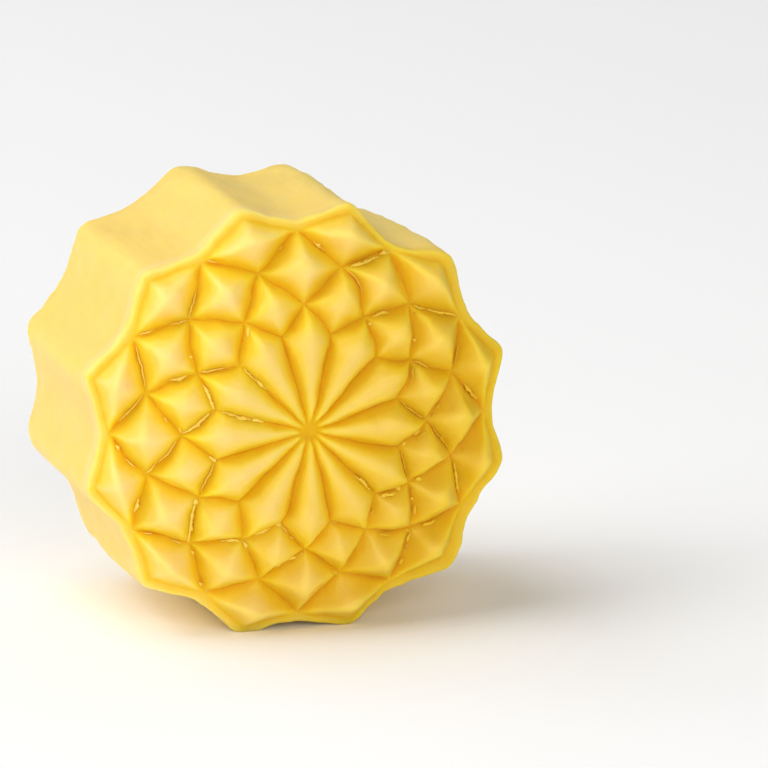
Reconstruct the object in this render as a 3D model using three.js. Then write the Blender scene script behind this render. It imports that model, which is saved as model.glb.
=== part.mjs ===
// Moulded mooncake, whole and uncut, standing on its edge.
// Millimetres, +Z up, the patterned face towards -Y, the flat base towards +Y.
// The cake is one solid: a domed face of forty-eight soft pyramids in four rings of twelve,
// a narrow rim, a wall of twelve rounded flutes and a flat base with a rounded edge.
import * as THREE from 'three';

// ---- driving sizes -------------------------------------------------------------------------
const FOLD = 12;             // petals, and flutes of the wall
const FACE_R = 21.8;         // centre of the face to the outer ends of the grooves
const WALL_LOBE = 1.146;     // wall radius on a flute, as a share of FACE_R
const WALL_NOTCH = 1.054;    // wall radius between two flutes
const GROOVE_LOBE = 1.105;   // radius at which the outer pyramids end, on a flute
const RINGS = [0, 0.499, 0.643, 0.830, 1.0];      // radii at which the grooves cross
const DOME = [0.252, 0.206, 0.162, 0.077, 0.0];   // how far those crossings stand out
const EDGE_DROP = -0.02;     // the outer corners lie a little behind the last crossings
const DEPTH = 1.29;          // last crossings to the base plane
const BASE_ROUND = 0.085;    // rounding of the edge of the base
const WALL_SWELL = 0.004;    // the wall swells this much halfway back
const WALL_DRAW = 0.012;     // and draws in this much by the base
const LOBE_SOFT = 0.20;      // rounding of a flute, as a share of half its width
const NOTCH_SOFT = 0.38;     // rounding of the valley between two flutes
const FOOT = 0.35;           // mm flattened off the two flutes the cake stands on

// One pyramid: place of its peak between inner and outer corner, height, softness of its
// four ridges (larger is sharper) and fullness of its four faces (one is flat).
const PYRAMID = {
  petal: { peak: 0.69, rise: 0.090, ridge: 2.0, full: 1.15 },
  kite: { peak: 0.71, rise: 0.110, ridge: 2.8, full: 1.20 },
  diamond: { peak: 0.64, rise: 0.142, ridge: 4.0, full: 1.15 },
  outer: { peak: 0.69, rise: 0.145, ridge: 3.2, full: 1.12 },
};

// Lines across a pyramid, crowded towards its grooves and following its ridges.
const KNOT_PEAK = 0.67;
const KNOT_STEPS = [0, 0.20, 0.55, 1];
const KNOTS = [
  ...KNOT_STEPS.map((s) => KNOT_PEAK * s),
  ...KNOT_STEPS.slice(0, -1).reverse().map((s) => 1 - (1 - KNOT_PEAK) * s),
];
const LAST = KNOTS.length - 1;

// ---- the face ------------------------------------------------------------------------------
// Points of the face are [across, up, out] in shares of FACE_R; turns count petals clockwise.
const TURN = (2 * Math.PI) / FOLD;

function crossing(ring, turns) {
  const a = turns * TURN;
  return [RINGS[ring] * Math.sin(a), RINGS[ring] * Math.cos(a), DOME[ring]];
}

function rimCorner(turns) {
  const a = turns * TURN;
  return [GROOVE_LOBE * Math.sin(a), GROOVE_LOBE * Math.cos(a), EDGE_DROP];
}

// The corners of each pyramid run inner, left, outer, right.
function pyramids() {
  const cells = [];
  for (let i = 0; i < FOLD; i += 1) {
    const h = i + 0.5;
    cells.push(['petal', crossing(0, 0), crossing(1, i - 0.5), crossing(2, i), crossing(1, h)]);
    cells.push(['kite', crossing(1, h), crossing(2, i), crossing(3, h), crossing(2, i + 1)]);
    cells.push(['diamond', crossing(2, i), crossing(3, i - 0.5), crossing(4, i), crossing(3, h)]);
    cells.push(['outer', crossing(3, h), crossing(4, i), rimCorner(h), crossing(4, i + 1)]);
  }
  return cells;
}

// Height of a pyramid above its four corners: nothing along the grooves, full at the peak.
function swell(u, v, shape) {
  const { peak, rise, ridge, full } = shape;
  const near = [u / peak, (1 - u) / (1 - peak), v / peak, (1 - v) / (1 - peak)];
  if (Math.min(...near) <= 0) return 0;
  const blend = near.reduce((sum, d) => sum + d ** -ridge, 0) ** (-1 / ridge) * 4 ** (1 / ridge);
  return rise * (1 - (1 - Math.min(1, blend)) ** full);
}

function facePoint(cell, u, v) {
  const [kind, inner, left, outer, right] = cell;
  const mix = (k) => (1 - u) * (1 - v) * inner[k] + u * (1 - v) * left[k]
    + (1 - u) * v * right[k] + u * v * outer[k];
  return [mix(0), mix(1), mix(2) + swell(u, v, PYRAMID[kind])];
}

// ---- the wall ------------------------------------------------------------------------------
// Radius of the fluted wall in one direction: rounded crests, softer valleys, flat flanks.
function wallRadius(angle) {
  const phase = (((angle / TURN) % 1) + 1) % 1;
  const fromCrest = Math.abs(phase - 0.5) * 2;
  const soften = (x, c) => (Math.sqrt(x * x + c * c) - c) / (Math.sqrt(1 + c * c) - c);
  const x = 1 - soften(1 - soften(fromCrest, LOBE_SOFT), NOTCH_SOFT);
  const chord = 1 - 0.0086 * 4 * fromCrest * (1 - fromCrest);
  return (WALL_LOBE - (WALL_LOBE - WALL_NOTCH) * x) * chord;
}

// Lines round the cake from the outer grooves over the rim and the wall to the base. Each has
// its share of the way from groove to wall, its inset from the wall and its depth.
function wallLines() {
  const b = BASE_ROUND;
  return [
    { share: 0.42, inset: 0, out: -0.003 },
    { share: 0.78, inset: 0, out: 0.002 },
    { share: 1, inset: 0.004, out: -0.022 },
    { share: 1, inset: 0, out: -0.070 },
    { share: 1, inset: -WALL_SWELL, out: -0.5 * DEPTH, level: true },
    { share: 1, inset: WALL_DRAW, out: -DEPTH + 1.3 * b, level: true },
    { share: 1, inset: WALL_DRAW + 0.13 * b, out: -DEPTH + 0.5 * b, level: true },
    { share: 1, inset: WALL_DRAW + 0.45 * b, out: -DEPTH + 0.13 * b, level: true },
    { share: 1, inset: WALL_DRAW + b, out: -DEPTH, level: true },
  ];
}

function wallPoint(groove, line) {
  const angle = Math.atan2(groove[0], groove[1]);
  const start = Math.hypot(groove[0], groove[1]);
  const radius = start + (wallRadius(angle) - start) * line.share - line.inset;
  const out = line.level ? line.out : groove[2] + line.out;
  return [radius * Math.sin(angle), radius * Math.cos(angle), out];
}

// ---- the skin of the solid -----------------------------------------------------------------
class Skin {
  constructor() {
    this.points = [];
    this.faces = [];
    this.known = new Map();
  }

  point(p) {
    const key = p.map((c) => Math.round(c * 1e6)).join();
    if (!this.known.has(key)) {
      this.known.set(key, this.points.length);
      this.points.push(p);
    }
    return this.known.get(key);
  }

  face(a, b, c) {
    if (a !== b && b !== c && c !== a) this.faces.push([a, b, c]);
  }

  // A four-sided patch a, b, c, d, cut along a-c, or along b-d.
  patch(a, b, c, d, alongBD) {
    if (alongBD) {
      this.face(a, b, d);
      this.face(b, c, d);
    } else {
      this.face(a, b, c);
      this.face(a, c, d);
    }
  }
}

function addFace(skin) {
  const middle = KNOTS.indexOf(KNOT_PEAK);
  for (const cell of pyramids()) {
    const grid = KNOTS.map((u) => KNOTS.map((v) => skin.point(facePoint(cell, u, v))));
    for (let i = 0; i < LAST; i += 1) {
      for (let j = 0; j < LAST; j += 1) {
        const acrossRidge = (i < middle) !== (j < middle);
        skin.patch(grid[i][j], grid[i][j + 1], grid[i + 1][j + 1], grid[i + 1][j], acrossRidge);
      }
    }
  }
}

// Points along the outer grooves, once round the face, clockwise.
function outerGrooves() {
  const loop = [];
  for (const cell of pyramids().filter(([kind]) => kind === 'outer')) {
    KNOTS.slice(0, LAST).forEach((v) => loop.push(facePoint(cell, 1, v)));
    KNOTS.slice(1).reverse().forEach((u) => loop.push(facePoint(cell, u, 1)));
  }
  return loop;
}

function addWall(skin) {
  const grooves = outerGrooves();
  const count = grooves.length;
  let rim = grooves.map((p) => skin.point(p));
  for (const line of wallLines()) {
    const next = grooves.map((p) => skin.point(wallPoint(p, line)));
    for (let i = 0; i < count; i += 1) {
      const j = (i + 1) % count;
      skin.patch(rim[i], rim[j], next[j], next[i], i % 2 === 0);
    }
    rim = next;
  }
  const centre = skin.point([0, 0, -DEPTH]);
  rim.forEach((p, i) => skin.face(p, rim[(i + 1) % count], centre));
}

// ---- the cake standing ---------------------------------------------------------------------
function cakeGeometry() {
  const skin = new Skin();
  addFace(skin);
  addWall(skin);
  const up = skin.points.map((p) => p[1] * FACE_R);
  const floor = Math.min(...up) + FOOT;
  const outs = skin.points.map((p) => p[2]);
  const halfway = (Math.max(...outs) + Math.min(...outs)) / 2;
  const flat = new Float32Array(skin.points.length * 3);
  skin.points.forEach((p, i) => {
    flat[3 * i] = p[0] * FACE_R;
    flat[3 * i + 1] = (halfway - p[2]) * FACE_R;
    flat[3 * i + 2] = Math.max(up[i], floor) - floor;
  });
  const geometry = new THREE.BufferGeometry();
  geometry.setAttribute('position', new THREE.BufferAttribute(flat, 3));
  geometry.setIndex(skin.faces.flat());
  geometry.computeVertexNormals();
  return geometry;
}

const cake = new THREE.Mesh(
  cakeGeometry(),
  new THREE.MeshStandardMaterial({ name: 'custard_skin', color: 0xf6cf55, roughness: 0.55 }),
);
cake.name = 'mooncake';

const part = new THREE.Group();
part.name = 'mooncake';
part.add(cake);

export default part;
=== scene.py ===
# Looks of the moulded mooncake: its fine skin, the burrs in its grooves, a waxy material
# with painted shade and highlights, soft studio light and the camera. Metres, in the frame
# of the imported part: +Z up, the patterned face towards -Y, the flat base towards +Y.
import math

import bpy
import numpy as np
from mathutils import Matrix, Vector
from mathutils.bvhtree import BVHTree


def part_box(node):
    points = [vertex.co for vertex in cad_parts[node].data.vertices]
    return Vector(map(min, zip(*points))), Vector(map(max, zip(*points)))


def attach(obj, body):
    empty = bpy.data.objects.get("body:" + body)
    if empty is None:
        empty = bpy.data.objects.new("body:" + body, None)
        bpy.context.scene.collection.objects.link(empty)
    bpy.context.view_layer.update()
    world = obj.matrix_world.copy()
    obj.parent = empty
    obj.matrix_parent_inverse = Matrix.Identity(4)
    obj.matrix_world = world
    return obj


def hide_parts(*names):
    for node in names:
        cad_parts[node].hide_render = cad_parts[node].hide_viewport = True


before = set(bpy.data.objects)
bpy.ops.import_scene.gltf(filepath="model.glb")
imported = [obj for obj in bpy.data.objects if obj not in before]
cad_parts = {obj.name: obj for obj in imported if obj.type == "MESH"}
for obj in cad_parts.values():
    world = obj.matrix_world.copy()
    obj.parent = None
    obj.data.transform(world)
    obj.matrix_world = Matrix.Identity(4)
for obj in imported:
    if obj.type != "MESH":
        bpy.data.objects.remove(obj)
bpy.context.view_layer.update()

# ---- sizes of the cake ---------------------------------------------------------------------
# Points of the cake are (across, up, out) in shares of FACE_R until they are placed. Turns
# count petals, clockwise from the top.
FOLD = 12                    # petals, and flutes of the wall
FACE_R = 0.0218              # metres, centre of the face to the outer ends of the grooves
WALL_LOBE = 1.146            # wall radius on a flute, as a share of FACE_R
WALL_NOTCH = 1.054           # wall radius between two flutes
GROOVE_LOBE = 1.105          # radius at which the outer pyramids end, on a flute
RINGS = (0, 0.499, 0.643, 0.830, 1.0)       # radii at which the grooves cross
DOME = (0.252, 0.206, 0.162, 0.077, 0.0)    # how far those crossings stand out
EDGE_DROP = -0.02            # the outer corners lie a little behind the last crossings
DEPTH = 1.29                 # last crossings to the base plane
BASE_ROUND = 0.085           # rounding of the edge of the base
WALL_SWELL = 0.004           # the wall swells this much halfway back
WALL_DRAW = 0.012            # and draws in this much by the base
LOBE_SOFT = 0.20             # rounding of a flute, as a share of half its width
NOTCH_SOFT = 0.38            # rounding of the valley between two flutes
FOOT = 0.00035               # metres flattened off the two flutes the cake stands on
CHORD = 0.0086               # the flanks of a flute are flatter than a circle by this
FRONT_FROM = -0.1            # points that stand out more than this belong to the face or rim
TURN = 2 * math.pi / FOLD
TENTH = 0.0001 / FACE_R      # a tenth of a millimetre, as a share of FACE_R
TINY = 1e-9                  # keeps a divisor above zero
JOIN_GRID = 1e6              # points that round to the same place on a grid this fine are one

# One pyramid: place of its peak, height, rounding of its ridges, fullness of its faces.
PYRAMID = {
    "petal": (0.69, 0.098, 0.17, 1.60),
    "kite": (0.71, 0.111, 0.12, 1.35),
    "diamond": (0.64, 0.142, 0.10, 1.25),
    "outer": (0.69, 0.142, 0.12, 1.22),
}
HUB_SOFT = 0.24              # towards the hub a petal is rounded by this share of its width,
HUB_LEAST = 0.01             # and this much more
PETAL_ROUND = 1.8            # fullness of a petal from groove to groove

# ---- fine form of the skin -----------------------------------------------------------------
CELL_STEPS = 32              # quads along one side of a pyramid
CROWDING = 0.6               # how much closer those lie at the grooves than halfway
RIDGE_LEAST = 0.84           # distance from the grooves counts this many times on the flanks,
RIDGE_HIGHLIGHT = 0.50            # and this much more on the ridges, which paints a paler highlight on them
CREASES = ((0.008, 0.0185), (0.002, 0.0059))   # depth, width of the trench and the fine line
HUB_RADIUS = 0.066           # flat spot in the middle of the petals,
HUB_DEPTH = 0.020            # this far below the top of the dome
HUB_EDGE = 4                 # sharpness of its edge
HUB_REACH = 0.24             # within about this radius the grooves have no fine line,
HUB_FADE = 0.020             # as if all lay this much farther from a groove,
HUB_HIGHLIGHT = 1.3               # and the tops of the petals get a painted highlight, paler than their width would give
RIM_GAP = 0.034              # the grooves along the rim have no crease: they count as this wide
RIM_HASTE = 1.3              # on the rim, distance from them counts this many times
RIM_FADE = 0.025             # and other grooves fade away within about this much of the rim
RIM_ROUND = 0.036            # rounding of the corner between the outer pyramids and the rim,
RIM_REACH = 3 * RIM_ROUND    # which fades away within about this much
RIM_STEEP = 1.4              # slope of the outer pyramids there
RIM_BEHIND = 0.045           # the paler colour of the wall sets in this far behind the grooves
PIT_DEPTH = 0.006            # small pits where grooves meet,
PIT_WIDTH = 0.030            # which reach about this far
WALL_HASTE = 8               # on the wall, distance from the grooves counts this many times
WARP = ((0.0035, 0.55), (0.0022, 0.16), (0.0007, 0.055))   # unevenness: how far, wave length
WAVE_SPREAD = (0.7, 1.4)     # uneven waves are this many times as close as their length says

# Places where a groove was pressed out of its straight line. Each row names the groove by the
# crossings it joins (ring, turns, ring, turns), then the share of the way along it, and how
# far it moves across and up, in tenths of a millimetre.
BEND_REACH = 0.077           # a bend fades away within about this much
BENDS = (
    (3, 0.5, 2, 1, 0.30, 5.5, 2.7), (3, 0.5, 2, 1, 0.54, 5.5, 2.7),
    (2, 1, 1, 1.5, 0.70, 5.0, 0.0), (2, 0, 1, 0.5, 0.55, 2.8, 2.8),
    (3, 1.5, 2, 2, 0.50, 3.3, 0.0), (4, 1, 3, 1.5, 0.50, 2.2, 0.0),
    (4, 2, 3, 1.5, 0.50, 0.0, -1.7), (4, 2, 3, 2.5, 0.50, 2.2, 0.0),
    (3, 11.5, 2, 0, 0.50, 1.1, 1.1), (4, 0, 3, 11.5, 0.70, 2.2, 0.0),
    (2, 11, 1, 11.5, 0.50, 0.0, 2.8), (3, 11.5, 2, 11, 0.80, 2.2, 0.0),
    (4, 11, 3, 10.5, 0.50, 3.3, 0.0), (3, 10.5, 2, 11, 0.50, 0.0, 3.3),
    (3, 10.5, 2, 10, 0.50, -3.3, 0.0), (4, 10, 3, 9.5, 0.50, 2.8, 0.0),
    (3, 9.5, 2, 10, 0.50, 0.0, 2.2), (4, 9, 3, 8.5, 0.50, -2.2, -2.2),
    (2, 11, 1, 10.5, 0.30, 2.2, 0.0), (2, 2, 1, 1.5, 0.40, 0.0, -2.2),
    (2, 2, 1, 2.5, 0.50, 3.3, 0.5), (3, 2.5, 2, 2, 0.50, 0.0, -2.2),
    (3, 2.5, 2, 3, 0.50, 2.2, 0.0), (4, 3, 3, 2.5, 0.50, -1.1, -1.7),
    (2, 3, 1, 2.5, 0.50, -0.5, -1.7), (2, 3, 1, 3.5, 0.50, 2.2, -1.7),
    (4, 3, 3, 3.5, 0.50, 1.7, -1.1), (3, 3.5, 2, 4, 0.50, 0.0, -1.7),
    (2, 4, 1, 4.5, 0.50, 0.5, -2.8), (3, 4.5, 2, 4, 0.50, 2.8, 0.0),
    (0, 0, 1, 3.5, 0.75, 0.0, -1.7), (3, 7.5, 2, 8, 0.50, -2.8, 0.0),
    (2, 8, 1, 7.5, 0.50, 0.0, 1.7), (4, 6, 3, 6.5, 0.50, 1.1, 1.7),
    (4, 6, 3, 5.5, 0.40, -1.7, 1.7), (2, 7, 1, 6.5, 0.70, -0.5, 2.2),
    (3, 4.5, 2, 5, 0.50, 0.0, -3.3), (4, 5, 3, 4.5, 0.50, 2.2, -0.5),
    (4, 4, 3, 4.5, 0.55, 0.0, -2.2), (1, 6.5, 2, 6, 0.30, -1.7, 0.0),
)

# Places where the rim, and the wall at the base, stand out more than the plan, or less: turns,
# reach in turns, and how far in tenths of a millimetre.
RIM_SWELLS = (
    (1.05, 0.30, -4.5), (1.65, 0.35, 2.5), (4.35, 0.58, 7.8), (5.3, 0.25, -4.0),
    (3.90, 0.07, 1.6), (4.08, 0.06, -1.6), (4.28, 0.06, 1.4), (4.60, 0.07, -1.4),
    (4.93, 0.07, 1.8), (5.12, 0.06, -1.4), (7.60, 0.07, 1.2), (2.20, 0.07, 1.4),
)
BASE_SWELLS = (
    (0.5, 0.40, -4.5), (1.2, 0.50, -3.5), (1.5, 0.35, -4.5), (9.0, 0.32, 3.2),
    (10.0, 0.32, 3.2), (11.0, 0.32, 3.6), (10.2, 1.30, 3.0),
)

# Rough scars along grooves, named as above, and the shares of the way at which they begin
# and end.
SCARS = ((1, 10.5, 0, 0, 0.02, 0.36), (1, 9.5, 0, 0, 0.04, 0.52))
SCAR_WIDTH = 0.024           # a scar fades away within about this much
SCAR_RAISE = 0.013           # torn dough fills the groove this high
SCAR_WAVE = 0.030            # wave length of its roughness,
SCAR_DEPTH = 0.0015          # and height
SCAR_FILL = 0.035            # the crease counts as this much farther from the groove there,
SCAR_MOTTLE = 0.008          # and the colour as this much farther, give or take as much

# Thin burrs of dough that the mould left beside the grooves. Each row names a groove as above,
# then the shares of the way at which the burr begins and ends, how far it lies beside the
# groove, across and up, and its width, these three in tenths of a millimetre. The last five
# are torn dough in the scars.
BURRS = (
    (4, 11, 3, 10.5, 0.50, 0.97, -1.7, 0.0, 3.2), (3, 10.5, 4, 10, 0.03, 0.31, 0.0, -1.1, 2.2),
    (3, 10.5, 4, 10, 0.65, 0.90, 0.0, 2.8, 2.2), (4, 10, 3, 9.5, 0.15, 0.90, 1.1, 0.0, 2.2),
    (3, 9.5, 4, 9, 0.08, 0.70, -1.1, 1.1, 2.2), (3, 9.5, 2, 10, 0.43, 0.77, 0.0, 2.8, 2.6),
    (2, 10, 1, 10.5, 0.10, 0.68, 0.0, 2.8, 2.6), (2, 10, 1, 10.5, 0.10, 0.20, 0.0, 3.3, 3.8),
    (2, 10, 1, 9.5, 0.30, 1.00, -2.8, 0.0, 2.2), (1, 9.5, 2, 9, 0.18, 0.94, -1.6, 1.6, 2.2),
    (3, 9.5, 2, 9, 0.50, 0.60, -2.2, -2.2, 3.0), (2, 9, 3, 9.5, 0.05, 0.15, 1.1, 3.3, 2.2),
    (4, 9, 3, 8.5, 0.26, 0.37, -4.4, 0.0, 3.2), (4, 9, 3, 8.5, 0.55, 0.78, -3.3, 0.0, 3.2),
    (3, 8.5, 2, 9, 0.02, 0.28, -2.8, 1.1, 1.8), (3, 8.5, 2, 9, 0.34, 0.86, -2.8, 1.1, 1.8),
    (2, 9, 1, 8.5, 0.76, 0.98, 0.0, -2.2, 2.8), (1, 8.5, 2, 8, 0.03, 0.85, -1.7, 0.0, 2.8),
    (2, 8, 3, 7.5, 0.10, 0.95, -2.8, 0.0, 2.6), (2, 8, 3, 7.5, 0.04, 0.15, -3.3, 0.0, 4.2),
    (3, 8.5, 4, 8, 0.47, 0.72, -2.2, 0.0, 1.8), (4, 8, 3, 7.5, 0.68, 0.85, 0.0, -2.2, 2.6),
    (4, 8, 3, 7.5, 0.20, 0.35, 0.0, -2.2, 2.0), (3, 7.5, 4, 7, 0.15, 0.23, -3.3, 0.0, 2.6),
    (3, 7.5, 4, 7, 0.78, 0.86, -3.3, 0.0, 2.2), (3, 7.5, 2, 7, 0.60, 0.92, 0.0, -2.2, 2.2),
    (2, 7, 3, 6.5, 0.05, 0.20, -1.1, 0.0, 3.0), (2, 7, 1, 6.5, 0.30, 0.70, 0.0, -1.1, 2.2),
    (2, 7, 1, 6.5, 0.85, 1.00, 0.0, -1.1, 2.2), (1, 6.5, 2, 6, 0.08, 0.28, -2.2, -1.7, 3.6),
    (1, 6.5, 2, 6, 0.40, 0.52, -2.2, -1.1, 2.2), (2, 6, 3, 6.5, 0.06, 0.16, 1.1, -2.8, 3.0),
    (2, 6, 3, 6.5, 0.20, 0.36, 0.0, -2.2, 2.6), (2, 6, 3, 6.5, 0.50, 0.62, 0.0, -1.7, 3.0),
    (3, 5.5, 2, 6, 0.08, 0.19, -3.3, -4.4, 4.4), (1, 5.5, 2, 5, 0.05, 0.16, 0.0, -1.1, 2.2),
    (1, 4.5, 2, 5, 0.44, 0.58, 2.2, 0.0, 3.0), (1, 4.5, 2, 4, 0.12, 0.58, 0.0, -5.0, 3.4),
    (1, 4.5, 2, 4, 0.60, 0.76, 0.0, -1.7, 4.0), (1, 4.5, 0, 0, 0.08, 0.30, -1.1, -1.7, 2.2),
    (2, 5, 3, 4.5, 0.28, 0.54, 0.0, -5.0, 3.8), (2, 5, 3, 4.5, 0.89, 0.98, 0.0, -3.3, 4.0),
    (3, 4.5, 4, 5, 0.12, 0.30, 2.8, 0.0, 2.8), (3, 4.5, 4, 5, 0.33, 0.43, 3.3, 0.0, 2.8),
    (3, 4.5, 4, 5, 0.61, 0.71, 3.3, 0.0, 3.2), (2, 4, 3, 4.5, 0.10, 0.28, 3.3, 0.0, 2.8),
    (2, 4, 3, 4.5, 0.32, 0.38, 2.8, 0.0, 2.8), (2, 4, 3, 4.5, 0.50, 0.70, 4.4, 0.0, 1.8),
    (2, 4, 3, 3.5, 0.16, 0.30, 0.5, -3.0, 3.2), (2, 4, 1, 3.5, 0.10, 0.88, 1.7, 0.0, 2.0),
    (4, 4, 3, 4.5, 0.50, 0.74, 0.0, -3.4, 3.0), (1, 3.5, 2, 3, 0.44, 0.76, 4.4, -4.4, 3.4),
    (1, 3.5, 2, 3, 0.10, 0.21, 1.8, -1.8, 3.4), (1, 3.5, 2, 3, 0.50, 0.70, 0.8, -0.8, 1.8),
    (2, 3, 3, 3.5, 0.15, 0.85, 1.7, 1.1, 1.8), (1, 2.5, 2, 3, 0.10, 0.95, 0.8, 1.1, 1.8),
    (2, 3, 3, 2.5, 0.07, 0.17, 4.2, -1.1, 3.2), (2, 3, 3, 2.5, 0.22, 0.33, 3.8, 0.0, 3.2),
    (2, 2, 1, 2.5, 0.12, 0.66, 5.0, 0.0, 3.4), (2, 2, 3, 2.5, 0.08, 0.42, 0.0, -1.1, 1.8),
    (4, 2, 3, 2.5, 0.50, 0.88, 2.8, 0.0, 2.2), (3, 2.5, 4, 3, 0.35, 0.75, 2.2, 2.2, 2.2),
    (3, 3.5, 4, 3, 0.16, 0.24, 5.0, -4.4, 2.2), (3, 3.5, 4, 4, 0.15, 0.75, 2.2, 0.0, 2.4),
    (4, 0, 3, 0.5, 0.34, 0.60, 1.7, 1.7, 2.2), (4, 0, 3, 0.5, 0.40, 0.48, 2.2, 2.2, 3.6),
    (3, 0.5, 4, 1, 0.17, 0.76, 0.0, -3.3, 3.4), (3, 0.5, 4, 1, 0.80, 0.98, 0.0, -2.2, 2.8),
    (3, 0.5, 2, 1, 0.10, 0.62, 2.8, 1.7, 2.8), (2, 1, 3, 1.5, 0.18, 0.50, 0.0, -1.7, 2.2),
    (2, 1, 1, 1.5, 0.13, 0.21, 4.4, 0.0, 2.8), (3, 1.5, 4, 2, 0.10, 0.33, 0.0, 0.5, 2.0),
    (3, 1.5, 4, 2, 0.37, 0.92, 0.0, 0.5, 2.0), (3, 1.5, 2, 2, 0.13, 0.19, 6.0, 0.0, 2.6),
    (3, 1.5, 2, 2, 0.61, 0.67, 3.9, 0.0, 2.6), (4, 11, 3, 11.5, 0.10, 0.26, 0.0, 3.3, 2.2),
    (4, 0, 3, 11.5, 0.38, 0.47, -0.5, 0.0, 2.8), (2, 11, 1, 10.5, 0.08, 0.30, 3.3, 0.0, 2.8),
    (3, 10.5, 2, 10, 0.63, 0.68, -3.9, 0.0, 2.2), (1, 10.5, 0, 0, 0.05, 0.21, 0.0, 0.6, 5.5),
    (1, 10.5, 0, 0, 0.19, 0.35, 0.0, 0.0, 4.5), (1, 9.5, 0, 0, 0.05, 0.22, 0.0, -0.8, 6.5),
    (1, 9.5, 0, 0, 0.20, 0.36, 0.0, -1.2, 6.5), (1, 9.5, 0, 0, 0.37, 0.50, 0.0, -0.8, 4.0),
)
BURR_SEED = 7
BURR_STEP = 0.00011          # metres between the cross-sections of a burr,
BURR_FEWEST = 6              # which are at least this many
BURR_SIDES = 8               # corners of a cross-section
BURR_LEAST = 2.6             # no burr is narrower than this many tenths of a millimetre
BURR_THICK = 0.00025         # metres
BURR_SUNK = 0.25             # a burr would lie in the skin with this share of its thickness,
BURR_RAISE = 0.00004         # but is raised this many metres
BURR_LIFT = 0.00018          # metres by which one of its edges stands up
BURR_BLUNT = 0.06            # bluntness of its tapered ends
BURR_TAPER = 0.55            # the smaller, the more abrupt its taper
BURR_RIPPLES = (0.0016, 0.0009, 0.0005)   # metres, wave lengths of its unevenness
RIPPLE_WIDE = 0.45           # share of its width by which that varies
RIPPLE_THICK = 0.25          # share of its thickness by which that varies
RIPPLE_ASIDE = 0.22          # share of its width by which it wanders to the sides


def crossing(ring, turns):
    """Place where grooves cross, on that ring and at those turns."""
    angle = turns * TURN
    return np.array([RINGS[ring] * math.sin(angle), RINGS[ring] * math.cos(angle), DOME[ring]])


def rim_corner(turns):
    """Outer corner of the outer pyramid at those turns."""
    angle = turns * TURN
    return np.array([GROOVE_LOBE * math.sin(angle), GROOVE_LOBE * math.cos(angle), EDGE_DROP])


def pyramids():
    """Kind and corners (inner, left, outer, right) of every pyramid of the face."""
    cells = []
    for i in range(FOLD):
        h = i + 0.5
        cells += [
            ("petal", crossing(0, 0), crossing(1, i - 0.5), crossing(2, i), crossing(1, h)),
            ("kite", crossing(1, h), crossing(2, i), crossing(3, h), crossing(2, i + 1)),
            ("diamond", crossing(2, i), crossing(3, i - 0.5), crossing(4, i), crossing(3, h)),
            ("outer", crossing(3, h), crossing(4, i), rim_corner(h), crossing(4, i + 1)),
        ]
    return cells


def soft_least(a, b, soft):
    """The smaller of two numbers, rounded where they are about equal."""
    return -soft * np.logaddexp(-a / soft, -b / soft)


def ridge_between(a, b, soft):
    """A slope that is 0 where a or b is 0 and follows the smaller one, its ridge rounded."""
    none = np.zeros_like(a)
    return (soft_least(a, b, soft) + soft_least(none, none, soft)
            - soft_least(a, none, soft) - soft_least(none, b, soft))


def rounded(share, full):
    """A rise from 0 to 1 that starts steeper and flattens towards its top."""
    return 1 - (1 - np.clip(share, 0, 1)) ** full


def swell(u, v, kind):
    """Height of a pyramid above its four corners: nothing at the grooves, full at the peak."""
    peak, rise, soft, full = PYRAMID[kind]
    across = soft_least(u / peak, (1 - u) / (1 - peak), soft)
    along = soft_least(v / peak, (1 - v) / (1 - peak), soft)
    top = soft_least(np.ones_like(u), np.ones_like(u), soft)
    highest = ridge_between(top, top, soft)
    if kind != "petal":
        return rise * rounded(ridge_between(across, along, soft) / highest, full)
    middle = (across + along) / 2
    narrow = np.minimum(soft, HUB_SOFT * middle + HUB_LEAST)
    ridge = ridge_between(middle, middle, narrow)
    beside = ridge_between(across, along, narrow) / np.maximum(ridge, TINY)
    return rise * rounded(ridge / highest, full) * rounded(beside, PETAL_ROUND)


def segment_distance(points, a, b):
    """Distance from points to the line a-b, seen from the front."""
    along = (b - a)[:2]
    reach = np.clip(((points[..., :2] - a[:2]) @ along) / (along @ along), 0, 1)
    nearest = a[:2] + reach[..., None] * along
    return np.linalg.norm(points[..., :2] - nearest, axis=-1)


def cell_points(cell, u, v):
    """Points of a pyramid, and how far each counts as lying from the nearest groove."""
    kind, inner, left, outer, right = cell
    u, v = u[..., None], v[..., None]
    points = (1 - u) * (1 - v) * inner + u * (1 - v) * left + (1 - u) * v * right + u * v * outer
    points[..., 2] += swell(u[..., 0], v[..., 0], kind)
    open_rim = RIM_GAP if kind == "outer" else 0
    sides = ((inner, left, 0), (left, outer, open_rim), (outer, right, open_rim), (right, inner, 0))
    gap = np.min([segment_distance(points, a, b) + start for a, b, start in sides], axis=0)
    # ridges count as farther from the grooves, which paints a paler highlight on them
    return points, gap * (RIDGE_LEAST + RIDGE_HIGHLIGHT * on_ridge(u[..., 0], v[..., 0], kind))


def on_ridge(u, v, kind):
    """How near a point is to a ridge of its pyramid: 1 on it and 0 at the grooves."""
    peak = PYRAMID[kind][0]
    across = np.minimum(u / peak, (1 - u) / (1 - peak))
    along = np.minimum(v / peak, (1 - v) / (1 - peak))
    share = np.minimum(across, along) / np.maximum(np.maximum(across, along), TINY)
    return share ** 2 * (3 - 2 * share)


def crease(gap):
    """Depth of a groove's trench and fine line at that distance from it."""
    return sum(depth * np.exp(-((gap / width) ** 2)) for depth, width in CREASES)


def pits(points):
    """Depth of the small pits where grooves meet."""
    depth = np.zeros(len(points))
    for ring in range(1, len(RINGS)):
        for i in range(FOLD):
            centre = crossing(ring, i + (0.5 if ring % 2 else 0))
            squared = ((points[:, :2] - centre[:2]) ** 2).sum(1)
            depth += PIT_DEPTH * np.exp(-squared / PIT_WIDTH ** 2)
    return depth


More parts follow.
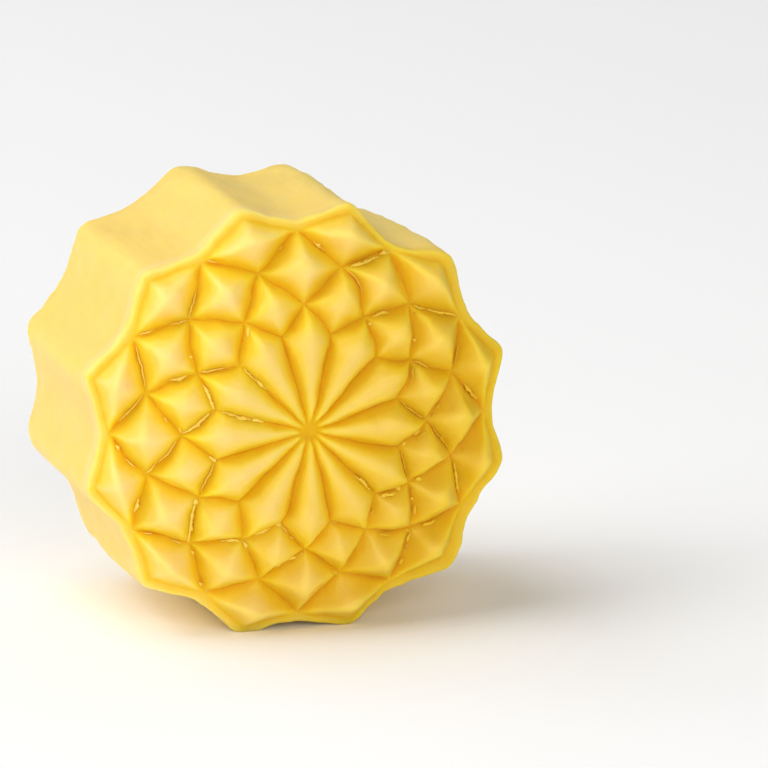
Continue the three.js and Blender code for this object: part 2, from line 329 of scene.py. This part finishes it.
def rim_distance(points):
    """Distance to the grooves between the outer pyramids and the rim."""
    lines = [(crossing(4, i), rim_corner(i + side)) for i in range(FOLD) for side in (-0.5, 0.5)]
    return np.min([segment_distance(points, a, b) for a, b in lines], axis=0)


def rim_fill(gap):
    """How much the dough fills the corner between the outer pyramids and the rim."""
    fillet = np.sqrt(gap ** 2 + RIM_ROUND ** 2) - gap
    return RIM_STEEP / 2 * fillet * np.exp(-((gap / RIM_REACH) ** 2))


def wall_radius(angle):
    """Radius of the fluted wall: rounded crests, softer valleys, flat flanks."""
    from_crest = np.abs((angle / TURN) % 1 - 0.5) * 2

    def soften(x, c):
        return (np.sqrt(x * x + c * c) - c) / (math.sqrt(1 + c * c) - c)

    x = 1 - soften(1 - soften(from_crest, LOBE_SOFT), NOTCH_SOFT)
    chord = 1 - CHORD * np.sin(math.pi * from_crest) ** 2
    return (WALL_LOBE - (WALL_LOBE - WALL_NOTCH) * x) * chord


def wall_lines():
    """Lines round the cake from groove to base: share of the way out to the wall, inset from
    it, and depth, which is measured from the groove or, where level, from the face."""
    b = BASE_ROUND
    back = -DEPTH
    return [
        (0.00, 0.0, 0.0, False),
        (0.24, 0.0, 0.004, False),
        (0.48, 0.0, 0.008, False),
        (0.71, 0.0, 0.009, False),
        (0.90, 0.0, 0.003, False),
        (0.98, 0.0, -0.012, False),
        (1.00, 0.0, -0.046, False),
        (1.00, -WALL_SWELL * 0.5, 0.20 * back, True),
        (1.00, -WALL_SWELL, 0.50 * back, True),
        (1.00, WALL_DRAW * 0.4, 0.78 * back, True),
        (1.00, WALL_DRAW, back + 1.3 * b, True),
        (1.00, WALL_DRAW + 0.13 * b, back + 0.5 * b, True),
        (1.00, WALL_DRAW + 0.45 * b, back + 0.13 * b, True),
        (1.00, WALL_DRAW + b, back, True),
    ]


WALL_STEPS = (3, 3, 3, 3, 3, 4, 4, 4, 4, 4, 3, 4, 4)   # quads between those lines
BASE_RINGS = (0.86, 0.62, 0.36, 0.14)    # rings of the flat base, as shares of its edge


def smooth_rows(rows, steps):
    """A smooth surface through rows of points, with that many steps between rows. Between two
    rows it is cubic, and its slopes at the rows come from their neighbours."""
    rows = np.array(rows)
    gaps = np.linalg.norm(np.diff(rows, axis=0), axis=2).mean(1)
    times = np.concatenate([[0], np.cumsum(gaps)])
    slopes = np.gradient(rows, times, axis=0)
    result = []
    for i, count in enumerate(steps):
        h = times[i + 1] - times[i]
        for t in np.arange(count) / count:
            result.append(
                (1 + 2 * t) * (1 - t) ** 2 * rows[i] + t * (1 - t) ** 2 * h * slopes[i]
                + t * t * (3 - 2 * t) * rows[i + 1] + t * t * (t - 1) * h * slopes[i + 1])
    result.append(rows[-1])
    return result


def waves(points, length, seed, count=20):
    """Smooth seeded unevenness, about 1 in size, with waves about that long."""
    draw = np.random.default_rng(seed)
    ways = draw.normal(size=(count, 3))
    ways /= np.linalg.norm(ways, axis=1)[:, None]
    ways *= (2 * math.pi / length) * draw.uniform(*WAVE_SPREAD, count)[:, None]
    phase = draw.uniform(0, 2 * math.pi, count)
    return np.sin(points @ ways.T + phase).sum(1) * math.sqrt(2 / count)


def along_groove(ring_a, turns_a, ring_b, turns_b, share):
    """The point that share of the way along the groove between two crossings."""
    start, end = crossing(ring_a, turns_a), crossing(ring_b, turns_b)
    return start + (end - start) * share


def bent(points):
    """Grooves pressed a little out of line, as BENDS lists."""
    moved = points.copy()
    for ring_a, turns_a, ring_b, turns_b, share, across, up in BENDS:
        centre = along_groove(ring_a, turns_a, ring_b, turns_b, share)
        squared = ((points[:, :2] - centre[:2]) ** 2).sum(1)
        near = np.exp(-squared / BEND_REACH ** 2)
        moved[:, 0] += near * across * TENTH
        moved[:, 1] += near * up * TENTH
    return moved


def warped(points):
    """The unevenness of hand work: every point moves a little, smoothly with its place."""
    moved = points.copy()
    for octave, (far, length) in enumerate(WARP):
        for axis in range(3):
            moved[:, axis] += far * waves(points, length, seed=10 * octave + axis)
    return moved


def place(points):
    """Shares of FACE_R to metres in the frame of the part, standing on its flattened flutes."""
    low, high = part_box("mooncake")
    axis_up = (high.z - FOOT) / 2
    placed = np.empty_like(points)
    placed[:, 0] = points[:, 0] * FACE_R
    placed[:, 1] = high.y - (points[:, 2] + DEPTH) * FACE_R
    placed[:, 2] = np.maximum(points[:, 1] * FACE_R + axis_up, low.z)
    return placed


class Skin:
    """Points, quads and groove distances of a closed skin, with shared points joined."""

    def __init__(self):
        self.points, self.gaps, self.faces = [], [], []
        self.count = 0

    def add(self, points, gaps):
        """Keeps a grid of points and returns their numbers in the same grid."""
        shape = points.shape[:-1]
        size = int(np.prod(shape))
        self.points.append(points.reshape(-1, 3))
        self.gaps.append(np.broadcast_to(gaps, shape).reshape(-1))
        self.count += size
        return np.arange(self.count - size, self.count).reshape(shape)

    def quads(self, grid):
        """Covers a grid of numbered points with quads."""
        corners = (grid[:-1, :-1], grid[:-1, 1:], grid[1:, 1:], grid[1:, :-1])
        self.faces.append(np.stack(corners, axis=-1).reshape(-1, 4))

    def joined(self):
        """All points once, their groove distances, and the quads between them."""
        points, gaps = np.concatenate(self.points), np.concatenate(self.gaps)
        keys = np.round(points * JOIN_GRID).astype(np.int64)
        _, first, number = np.unique(keys, axis=0, return_index=True, return_inverse=True)
        faces = number.reshape(-1)[np.concatenate(self.faces)]
        return points[first], gaps[first], faces


def face_knots():
    """Shares along the side of a pyramid, crowded towards the grooves."""
    even = np.linspace(0, 1, CELL_STEPS + 1)
    return even - CROWDING * np.sin(2 * math.pi * even) / (2 * math.pi)


def add_face(skin):
    """All pyramids of the face. Returns the outer grooves, once round, clockwise."""
    knots = face_knots()
    u, v = np.meshgrid(knots, knots, indexing="ij")
    loop = []
    for cell in pyramids():
        points, gap = cell_points(cell, u, v)
        if cell[0] == "outer":
            loop += list(points[-1, :-1]) + list(points[:0:-1, -1])
        skin.quads(skin.add(points, gap))
    return np.array(loop)


def swelling(angle, swells):
    """How far the cake stands out more than the plan, in those directions."""
    far = np.zeros_like(angle)
    for turns, reach, tenths in swells:
        away = (angle / TURN - turns + FOLD / 2) % FOLD - FOLD / 2
        far += tenths * TENTH * np.exp(-((away / reach) ** 2))
    return far


def add_wall(skin, grooves):
    """The rim, the fluted wall and the base, out from the outer grooves."""
    angle = np.arctan2(grooves[:, 0], grooves[:, 1])
    start = np.hypot(grooves[:, 0], grooves[:, 1])
    at_rim, at_base = swelling(angle, RIM_SWELLS), swelling(angle, BASE_SWELLS)
    rows = []
    for share, inset, out, level in wall_lines():
        height = np.full_like(start, out) if level else grooves[:, 2] + out
        backward = np.clip(-height / DEPTH, 0, 1)
        wall = wall_radius(angle) + at_rim + (at_base - at_rim) * backward
        radius = start + (wall - start) * share - inset
        rows.append(np.stack([radius * np.sin(angle), radius * np.cos(angle), height], axis=1))
    rows = smooth_rows(rows, WALL_STEPS)
    edge = rows[-1]
    rows += [edge * (ring, ring, 1) for ring in BASE_RINGS]
    rows.append(np.broadcast_to([0, 0, -DEPTH], edge.shape))
    grid = np.array(rows)
    outward = np.linalg.norm(grid[:, :, :2] - grooves[:, :2], axis=2)
    behind = np.maximum(grooves[:, 2] - grid[:, :, 2] - RIM_BEHIND, 0)
    gaps = RIM_GAP + RIM_HASTE * outward + WALL_HASTE * behind
    grid = np.concatenate([grid, grid[:, :1]], axis=1)
    gaps = np.concatenate([gaps, gaps[:, :1]], axis=1)
    skin.quads(skin.add(grid, gaps))


def scars(points):
    """How near points are to the scars, 1 in the middle of them, as SCARS lists."""
    near = np.zeros(len(points))
    for *groove, begin, end in SCARS:
        start, stop = along_groove(*groove, begin), along_groove(*groove, end)
        away = segment_distance(points, start, stop)
        near = np.maximum(near, np.exp(-((away / SCAR_WIDTH) ** 2)))
    return near


def cake_skin():
    """The whole cake: placed points, the distances from grooves that set its colour with its
    painted shade and highlights, those that set its dullness, with the grooves along the rim
    and without the scars, and faces."""
    skin = Skin()
    add_wall(skin, add_face(skin))
    points, gaps, faces = skin.joined()
    radius = np.hypot(points[:, 0], points[:, 1])
    front = points[:, 2] > FRONT_FROM
    rim = rim_distance(points)
    # Creases fade away by the rim and in the scars, and lose their fine line round the hub.
    gaps = np.maximum(gaps, RIM_GAP * np.exp(-((rim / RIM_FADE) ** 2)) * front)
    inner = np.exp(-((radius / HUB_REACH) ** 2)) * front
    scar = scars(points) * front
    trench = crease(gaps + HUB_FADE * inner + SCAR_FILL * scar)
    points[:, 2] += np.where(front, rim_fill(rim) - trench - pits(points), 0)
    # The hub is flat and has the painted shade of a groove; round it the tops of the petals get a
    # painted highlight.
    hub = np.clip(1 - (radius / HUB_RADIUS) ** HUB_EDGE, 0, 1) * front
    points[:, 2] += hub * (DOME[0] - HUB_DEPTH - points[:, 2])
    gaps = gaps * (1 + HUB_HIGHLIGHT * inner) * (1 - hub)
    # The scars are rough and mottled.
    rough = scar * waves(points, SCAR_WAVE, seed=40)
    points[:, 2] += SCAR_RAISE * scar + SCAR_DEPTH * rough
    dull = np.where(front, np.minimum(gaps, rim), gaps) * (1 - scar)
    gaps = np.maximum(gaps + SCAR_MOTTLE * (scar + rough), 0)
    return place(warped(bent(points))), gaps * FACE_R, dull * FACE_R, faces


# ---- burrs ---------------------------------------------------------------------------------
def burr_path(tree, row):
    """Points and outward directions of the skin along one burr, found from the front."""
    *groove, begin, end, across, up, _ = row
    length = np.linalg.norm(along_groove(*groove, 1) - along_groove(*groove, 0)) * FACE_R
    count = max(BURR_FEWEST, round(length * (end - begin) / BURR_STEP))
    shares = np.linspace(begin, end, count)[:, None]
    points = along_groove(*groove, shares) + np.array([across, up, 0]) * TENTH
    hits = [tree.ray_cast(Vector((x, -1, z)), Vector((0, 1, 0)))
            for x, _, z in place(warped(bent(points)))]
    places = np.array([hit[0] for hit in hits])
    outward = np.array([hit[1] for hit in hits])
    padded = np.concatenate([outward[:1], outward, outward[-1:]])
    outward = padded[:-2] + padded[1:-1] + padded[2:]
    return places, outward / np.linalg.norm(outward, axis=1)[:, None]


def ripple_along(count, draw):
    """Unevenness along a burr with that many cross-sections, at most 1 in size."""
    steps = np.arange(count) * BURR_STEP
    return sum(
        np.sin(2 * math.pi * steps / length + draw.uniform(0, 2 * math.pi))
        for length in BURR_RIPPLES) / len(BURR_RIPPLES)


def strand_points(places, outward, wide, draw):
    """Points of one thin burr: rings round a flattened, tapered, wavy strand with one edge
    standing up, then its two ends."""
    count = len(places)
    share = np.linspace(BURR_BLUNT, 1 - BURR_BLUNT, count)
    forward = np.gradient(places, axis=0)
    forward /= np.linalg.norm(forward, axis=1)[:, None]
    aside = np.cross(forward, outward)
    ripple = ripple_along(count, draw)
    taper = np.sin(math.pi * share) ** BURR_TAPER
    half_width = wide / 2 * taper * (1 + RIPPLE_WIDE * ripple)
    thick = BURR_THICK * taper * (1 + RIPPLE_THICK * ripple[::-1])
    middle = places + aside * (wide * RIPPLE_ASIDE * ripple[::-1])[:, None]
    edge = draw.choice((-1, 1))
    rings = []
    for k in range(BURR_SIDES):
        angle = 2 * math.pi * k / BURR_SIDES
        sideways = math.cos(angle) * half_width
        raised = thick * (0.5 - BURR_SUNK + 0.5 * math.sin(angle)) + BURR_RAISE * taper
        raised = raised + BURR_LIFT * taper * max(0, edge * math.cos(angle)) * (1 + ripple)
        rings.append(middle + aside * sideways[:, None] + outward * raised[:, None])
    grid = np.stack(rings, axis=1)
    return np.concatenate([grid.reshape(-1, 3), middle[:1], middle[-1:]])


def strand_faces(count):
    """Faces of a strand with that many rings: its sides, then its two closed ends."""
    numbers = np.arange(count * BURR_SIDES).reshape(count, BURR_SIDES)
    turned = np.roll(numbers, -1, axis=1)
    sides = np.stack([numbers[:-1], numbers[1:], turned[1:], turned[:-1]], axis=-1)
    faces = sides.reshape(-1, 4).tolist()
    first, last = count * BURR_SIDES, count * BURR_SIDES + 1
    faces += [(first, a, b) for a, b in zip(numbers[0], turned[0])]
    faces += [(last, b, a) for a, b in zip(numbers[-1], turned[-1])]
    return faces


def make_burrs(cake, material):
    """All burrs as one piece, laid on the skin of the cake."""
    points = [vertex.co for vertex in cake.data.vertices]
    tree = BVHTree.FromPolygons(points, [face.vertices for face in cake.data.polygons])
    draw = np.random.default_rng(BURR_SEED)
    all_points, all_faces = [], []
    count = 0
    for row in BURRS:
        places, outward = burr_path(tree, row)
        wide = max(row[-1], BURR_LEAST)
        strand = strand_points(places, outward, wide * TENTH * FACE_R, draw)
        all_faces += [[int(n) + count for n in face] for face in strand_faces(len(places))]
        all_points.append(strand)
        count += len(strand)
    piece = mesh_object("skin_burrs", np.concatenate(all_points), all_faces, material)
    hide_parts("mooncake")
    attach(piece, "root")


# ---- materials -----------------------------------------------------------------------------
def srgb(red, green, blue):
    """A colour given as it looks on screen, 0 to 255, as the linear colour of a socket."""
    shares = [c / 255 for c in (red, green, blue)]
    linear = [s / 12.92 if s <= 0.04045 else ((s + 0.055) / 1.055) ** 2.4 for s in shares]
    return (*linear, 1)


# Colour of the dough by its distance from the nearest groove, in metres, where the face is
# palest: painted shade, deep golden, in and beside the grooves, and a painted highlight, paler,
# towards the ridges and peaks. Along the way given next the face darkens into painted shade
# towards its lower right, down to the shares of red, green and blue given after it.
GROOVE_SHADE_TINTS = (
    (0.0000, srgb(243, 197, 0)),
    (0.0002, srgb(242, 199, 8)),
    (0.0006, srgb(241, 204, 30)),
    (0.0012, srgb(243, 210, 78)),
    (0.0022, srgb(244, 214, 122)),
    (0.0036, srgb(244, 216, 147)),
)
# painted shade on the lower right of the face: its way, where it begins and ends, its darkest
# shares
SHADE_PAINT_WAY = (0.95, 0.0, -0.31)
SHADE_PAINT_FROM, SHADE_PAINT_TO = -0.022, 0.0115  # metres along that way, from the frame's origin
SHADE_PAINT_DEEPEST = (0.88, 0.785, 0.05, 1)
WALL_TINT = srgb(250, 211, 110)
WALL_BEGINS, WALL_FULL = 0.002, 0.009    # metres, where the paler colour of the wall sets in
GAP_WOBBLE = 0.0003                      # metres by which the edges of the tints waver,
WOBBLE_WAVE = 0.0011                     # in waves about this many metres long
MOTTLE_TINT = srgb(247, 206, 60)         # patches of the skin turn towards this colour,
MOTTLE_MOST = 0.16                       # by this share at most
MOTTLE_WAVE = 0.0035                     # and are about this many metres across
BURR_TINT = srgb(252, 223, 102)
PATCH_TINT = GROOVE_SHADE_TINTS[3][1]          # patches of the burrs turn towards this colour,
PATCH_MOST = 0.5                         # by this share at most
PATCH_WAVE = 0.0008                      # and are about this many metres across

# Surface of the dough: roughness from and to, height of the fine bumps in metres, milkiness.
SKIN_ROUGH, SKIN_BUMP, SKIN_MILKY = (0.46, 0.56), 0.00006, 1.0
BURR_ROUGH, BURR_BUMP, BURR_MILKY = (0.50, 0.62), 0.00003, 0.0
ROUGH_WAVE = 0.0022                      # metres over which the roughness varies
GROOVE_DULL = 0.85                       # roughness in the bottom of a groove
DULL_REACH = 0.0016                      # metres from it to where that has fallen to DULL_LEAST,
DULL_LEAST = 0.3                         # which is less than the usual roughness
DOUGH_IOR = 1.40
DOUGH_SPECULAR = 0.6
MILK_REACH = (1.0, 0.9, 0.25)            # how far red, green and blue light spread inside it,
MILK_SCALE = 0.0024                      # in units of this many metres
BUMPS = ((0.0030, 1.0), (0.0007, 0.45), (0.00025, 0.35))   # wave length, share of the bump
NOISE_MOST = (0.3, 0.7)                  # most values of a noise lie between these,
NOISE_MIDDLE = (0.35, 0.65)              # and its middle ones between these


def add_node(material, kind, **values):
    """A node with its inputs set by name, in which underscores stand for spaces."""
    node = material.node_tree.nodes.new(kind)
    for name, value in values.items():
        node.inputs[name.replace("_", " ")].default_value = value
    return node


def noise(material, wave, detail=2.0):
    """Solid noise with waves about that many metres long."""
    where = add_node(material, "ShaderNodeTexCoord")
    texture = add_node(material, "ShaderNodeTexNoise", Scale=1 / wave, Detail=detail)
    material.node_tree.links.new(where.outputs["Object"], texture.inputs["Vector"])
    return texture.outputs["Fac"]


def ranged(material, value, low, high, to_low, to_high):
    """A value carried from one range to another, and held inside it."""
    node = add_node(material, "ShaderNodeMapRange", From_Min=low, From_Max=high, To_Min=to_low,
                    To_Max=to_high)
    material.node_tree.links.new(value, node.inputs["Value"])
    return node.outputs["Result"]


def mixed(material, factor, first, second, blend="MIX"):
    """A mix of two colours, each a fixed colour or the output of a node."""
    node = material.node_tree.nodes.new("ShaderNodeMix")
    node.data_type = "RGBA"
    node.blend_type = blend
    links = material.node_tree.links
    links.new(factor, node.inputs["Factor"])
    for socket, colour in (("A", first), ("B", second)):
        target = next(i for i in node.inputs if i.name == socket and i.type == "RGBA")
        if isinstance(colour, tuple):
            target.default_value = colour
        else:
            links.new(colour, target)
    return next(o for o in node.outputs if o.type == "RGBA")


def painted_shade_tint(material):
    """The colour by distance from the grooves, with wavering edges: painted shade in the grooves, a
    painted highlight towards the ridges, painted shade towards the lower right of the face, and the
    paler colour of the wall.
    """
    links = material.node_tree.links
    gap = add_node(material, "ShaderNodeAttribute")
    gap.attribute_name = "groove_gap"
    wobble = ranged(
        material, noise(material, WOBBLE_WAVE), *NOISE_MOST, -GAP_WOBBLE / 2, GAP_WOBBLE / 2)
    total = material.node_tree.nodes.new("ShaderNodeMath")
    links.new(gap.outputs["Fac"], total.inputs[0])
    links.new(wobble, total.inputs[1])
    widest = GROOVE_SHADE_TINTS[-1][0]
    share = ranged(material, total.outputs["Value"], 0, widest, 0, 1)
    ramp = material.node_tree.nodes.new("ShaderNodeValToRGB")
    ramp.color_ramp.interpolation = "EASE"
    stops = ramp.color_ramp.elements
    while len(stops) < len(GROOVE_SHADE_TINTS):
        stops.new(0.5)
    for stop, (distance, tint) in zip(stops, GROOVE_SHADE_TINTS):
        stop.position = distance / widest
        stop.color = tint
    links.new(share, ramp.inputs["Fac"])
    # painted shade: the face darkens towards its lower right, away from the lights
    face = mixed(material, painted_shade_share(material), ramp.outputs["Color"], SHADE_PAINT_DEEPEST, "MULTIPLY")
    wall = ranged(material, gap.outputs["Fac"], WALL_BEGINS, WALL_FULL, 0, 1)
    return mixed(material, wall, face, WALL_TINT)


def painted_shade_share(material):
    """How far a place lies on the way from the pale upper left of the face, 0 to 1: the share of
    painted shade on the side away from the lights.
    """
    where = add_node(material, "ShaderNodeTexCoord")
    along = material.node_tree.nodes.new("ShaderNodeVectorMath")
    along.operation = "DOT_PRODUCT"
    along.inputs[1].default_value = SHADE_PAINT_WAY
    material.node_tree.links.new(where.outputs["Object"], along.inputs[0])
    return ranged(material, along.outputs["Value"], SHADE_PAINT_FROM, SHADE_PAINT_TO, 0, 1)


def waxy_shader(material, roughness, bump_height, milky):
    """Dough with a dull sheen, a fine uneven surface and, where milky, light inside it."""
    links = material.node_tree.links
    shader = material.node_tree.nodes["Principled BSDF"]
    rough = ranged(material, noise(material, ROUGH_WAVE, detail=3), *NOISE_MOST, *roughness)
    links.new(rough, shader.inputs["Roughness"])
    shader.inputs["IOR"].default_value = DOUGH_IOR
    shader.inputs["Specular IOR Level"].default_value = DOUGH_SPECULAR
    shader.inputs["Subsurface Weight"].default_value = milky
    shader.inputs["Subsurface Radius"].default_value = MILK_REACH
    shader.inputs["Subsurface Scale"].default_value = MILK_SCALE
    previous = None
    for wave, share in BUMPS:
        bump = add_node(material, "ShaderNodeBump", Strength=1.0, Distance=bump_height * share)
        links.new(noise(material, wave), bump.inputs["Height"])
        if previous:
            links.new(previous, bump.inputs["Normal"])
        previous = bump.outputs["Normal"]
    links.new(previous, shader.inputs["Normal"])
    return shader


def dull_grooves(material, shader):
    """Makes the bottoms of the grooves duller than the rest of the skin."""
    links = material.node_tree.links
    usual = shader.inputs["Roughness"].links[0].from_socket
    gap = add_node(material, "ShaderNodeAttribute")
    gap.attribute_name = "dull_gap"
    dull = ranged(material, gap.outputs["Fac"], 0, DULL_REACH, GROOVE_DULL, DULL_LEAST)
    rougher = material.node_tree.nodes.new("ShaderNodeMath")
    rougher.operation = "MAXIMUM"
    links.new(usual, rougher.inputs[0])
    links.new(dull, rougher.inputs[1])
    links.new(rougher.outputs["Value"], shader.inputs["Roughness"])


def custard_material():
    """Yellow milky dough with painted shade: more golden in the grooves and towards the lower right
    of the face, with a painted highlight on the ridges, and paler on the wall.
    """
    material = bpy.data.materials.new("custard_skin_look")
    material.use_nodes = True
    shader = waxy_shader(material, SKIN_ROUGH, SKIN_BUMP, SKIN_MILKY)
    dull_grooves(material, shader)
    coarse = noise(material, MOTTLE_WAVE, detail=3)
    mottle = ranged(material, coarse, *NOISE_MIDDLE, 0, MOTTLE_MOST)
    tint = mixed(material, mottle, painted_shade_tint(material), MOTTLE_TINT)
    material.node_tree.links.new(tint, shader.inputs["Base Color"])
    return material


def burr_material():
    """The same dough where it is thin and dry: paler, and not milky, with the same painted shade
    towards the lower right.
    """
    material = bpy.data.materials.new("burr_look")
    material.use_nodes = True
    shader = waxy_shader(material, BURR_ROUGH, BURR_BUMP, BURR_MILKY)
    patches = ranged(material, noise(material, PATCH_WAVE), *NOISE_MIDDLE, 0, PATCH_MOST)
    tint = mixed(material, patches, BURR_TINT, PATCH_TINT)
    # painted shade: the burrs too darken towards the lower right of the face
    tint = mixed(material, painted_shade_share(material), tint, SHADE_PAINT_DEEPEST, "MULTIPLY")
    material.node_tree.links.new(tint, shader.inputs["Base Color"])
    return material


# ---- objects -------------------------------------------------------------------------------
def mesh_object(name, points, faces, material):
    """A smooth mesh in the scene."""
    mesh = bpy.data.meshes.new(name)
    mesh.from_pydata(points, [], faces)
    mesh.shade_smooth()
    mesh.materials.append(material)
    piece = bpy.data.objects.new(name, mesh)
    bpy.context.scene.collection.objects.link(piece)
    return piece


def make_cake(material):
    """The skin of the cake, with the distances that its material reads."""
    points, gaps, dull, faces = cake_skin()
    # Quads with two joined corners become triangles, and those with fewer corners go.
    rings = [[n for k, n in enumerate(face) if n != face[k - 1]] for face in faces.tolist()]
    piece = mesh_object("cake_skin", points, [ring for ring in rings if len(ring) > 2], material)
    for name, values in (("groove_gap", gaps), ("dull_gap", dull)):
        mark = piece.data.attributes.new(name, "FLOAT", "POINT")
        mark.data.foreach_set("value", values)
    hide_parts("mooncake")
    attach(piece, "root")
    return piece


# ---- studio --------------------------------------------------------------------------------
FACE_CENTRE = Vector((0, -0.010917, 0.023889))   # centre of the face, at its outer grooves
CAMERA_SIDE = math.radians(-15.77)               # camera left of the face's own direction
CAMERA_RISE = math.radians(13.55)                # and above it
CAMERA_FAR = 46.0 * FACE_R
CLIP_NEAR, CLIP_FAR = 0.01, 20                   # metres
LENS = 421.9                                     # millimetres
SENSOR = 36                                      # millimetres
AIM_RIGHT = 0.00981                              # metres, view's middle right of the face's
AIM_UP = 0.00407                                 # and above it

# Round soft lights: degrees to the right of the face's own direction, degrees up, and watts.
LIGHTS = {
    "left_low": (-85, 0, 1.0),
    "left_middle": (-85, 35, 4.2),
    "left_high": (-85, 65, 4.9),
    "front": (0, 10, 7.0),
    "right": (45, 20, 0.2),
    "rear_left": (-140, 40, 3.3),
    "rear_right": (140, 40, 1.1),
}
LIGHT_FAR = 1.2              # metres from the face
LIGHT_SIZE = 0.9             # metres across
LIGHT_LOWEST = 0.42          # metres above the floor
WORLD_LIGHT = 0.24           # strength of the white light from all round
WHITE = (1, 1, 1, 1)
FLOOR_SIZE = 6               # metres
FLOOR_ROUGH = 0.9
FLOOR_SPECULAR = 0.2


def direction(side, rise):
    """Unit vector from the face, turned to the right of its own direction and up."""
    return Vector((
        math.sin(side) * math.cos(rise), -math.cos(side) * math.cos(rise), math.sin(rise)))


def make_camera():
    """The camera of the photograph, left of the face's own direction and a little above it."""
    toward = direction(CAMERA_SIDE, CAMERA_RISE)
    right = Vector((math.cos(CAMERA_SIDE), math.sin(CAMERA_SIDE), 0))
    up = toward.cross(right)
    camera = bpy.data.objects.new("camera", bpy.data.cameras.new("camera"))
    bpy.context.scene.collection.objects.link(camera)
    camera.location = FACE_CENTRE + toward * CAMERA_FAR
    aim = FACE_CENTRE + right * AIM_RIGHT + up * AIM_UP
    camera.rotation_euler = (aim - camera.location).to_track_quat("-Z", "Y").to_euler()
    camera.data.lens = LENS
    camera.data.sensor_width = SENSOR
    camera.data.clip_start = CLIP_NEAR
    camera.data.clip_end = CLIP_FAR
    bpy.context.scene.camera = camera


def make_light(name, side, rise, watts):
    """One round soft light that faces the cake."""
    data = bpy.data.lights.new(name, "AREA")
    data.shape = "DISK"
    data.size = LIGHT_SIZE
    data.energy = watts
    light = bpy.data.objects.new(name, data)
    bpy.context.scene.collection.objects.link(light)
    spot = FACE_CENTRE + direction(math.radians(side), math.radians(rise)) * LIGHT_FAR
    spot.z = max(spot.z, LIGHT_LOWEST)
    light.location = spot
    light.rotation_euler = (FACE_CENTRE - spot).to_track_quat("-Z", "Y").to_euler()
    light.visible_camera = False


def make_floor():
    """The plain pale floor."""
    bpy.ops.mesh.primitive_plane_add(size=FLOOR_SIZE)
    floor = bpy.context.object
    floor.name = "floor"
    material = bpy.data.materials.new("pale_floor")
    material.use_nodes = True
    shader = material.node_tree.nodes["Principled BSDF"]
    shader.inputs["Base Color"].default_value = WHITE
    shader.inputs["Roughness"].default_value = FLOOR_ROUGH
    shader.inputs["Specular IOR Level"].default_value = FLOOR_SPECULAR
    floor.data.materials.append(material)


def make_studio():
    """White light from all round, the soft lights and the floor."""
    world = bpy.data.worlds.new("studio")
    bpy.context.scene.world = world
    world.use_nodes = True
    background = world.node_tree.nodes["Background"]
    background.inputs["Color"].default_value = WHITE
    background.inputs["Strength"].default_value = WORLD_LIGHT
    for name, (side, rise, watts) in LIGHTS.items():
        make_light(name, side, rise, watts)
    make_floor()
    bpy.context.scene.view_settings.view_transform = "Standard"


cake = make_cake(custard_material())
make_burrs(cake, burr_material())
make_camera()
make_studio()
